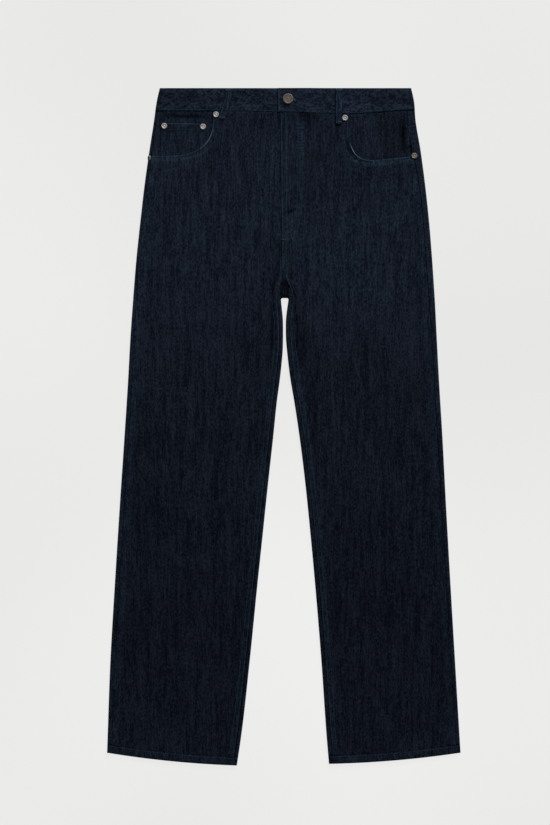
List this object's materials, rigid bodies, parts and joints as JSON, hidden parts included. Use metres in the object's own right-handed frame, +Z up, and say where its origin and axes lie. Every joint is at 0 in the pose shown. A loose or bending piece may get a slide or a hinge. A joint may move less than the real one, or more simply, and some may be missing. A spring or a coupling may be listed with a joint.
{
  "type": "straight-leg jeans, laid flat",
  "caption": "Straight-leg five-pocket jeans in dark raw-look denim, laid flat on the back with the waist closed by a shank button.",
  "frame": {"origin": "middle of the laid jeans, on the surface they lie on", "axes": "+Y from the hems to the waist, +X to the wearer's left, +Z up, out of the front"},
  "size_m": [0.5662, 1.0815, 0.0116],
  "materials": {
    "denim": "dark indigo denim, matte, with faint vertical slubs",
    "thread": "navy sewing thread, matte",
    "rivet_metal": "tarnished silver",
    "button_metal": "antique warm grey"
  },
  "bodies": {
    "root": {"front_panel_right": "denim", "front_panel_left": "denim", "back_panel_right": "denim", "back_panel_left": "denim", "yoke_right": "denim", "yoke_left": "denim", "back_pocket_right": "denim", "back_pocket_left": "denim", "waistband": "denim", "belt_loop_front_right": "denim", "belt_loop_front_left": "denim", "belt_loop_back_right": "denim", "belt_loop_back_centre": "denim", "belt_loop_back_left": "denim", "pocket_facing_right": "denim", "pocket_facing_left": "denim", "coin_pocket": "denim", "hem_right": "denim", "hem_left": "denim", "rivet_mouth_right": "rivet_metal", "rivet_mouth_left": "rivet_metal", "rivet_side_left": "rivet_metal", "rivet_side_right": "rivet_metal", "rivet_coin_outer": "rivet_metal", "rivet_coin_inner": "rivet_metal", "shank_button": "button_metal"}
  },
  "joints": []
}
